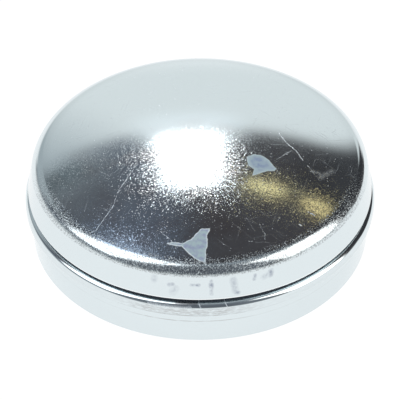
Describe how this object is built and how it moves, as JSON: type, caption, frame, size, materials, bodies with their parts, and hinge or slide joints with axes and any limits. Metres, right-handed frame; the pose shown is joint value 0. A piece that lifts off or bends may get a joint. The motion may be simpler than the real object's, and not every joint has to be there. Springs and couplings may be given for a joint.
{
  "type": "hub grease cap",
  "caption": "Shallow domed sheet-steel grease cap for a wheel hub, with a rolled corner, a short flared wall, a folded stop bead and an open press-fit skirt.",
  "frame": {"origin": "centre of the open rim, in the plane that the cap rests on", "axes": "+Z along the cap's axis, from the open rim to the crown; the cap is round, so X and Y are free"},
  "size_m": [0.0794, 0.0794, 0.0263],
  "materials": {
    "zinc_plate": "bright zinc plate with a clear blue passivate, lightly scratched, with two dull patches"
  },
  "bodies": {
    "root": {"grease_cap": "zinc_plate"}
  },
  "joints": []
}
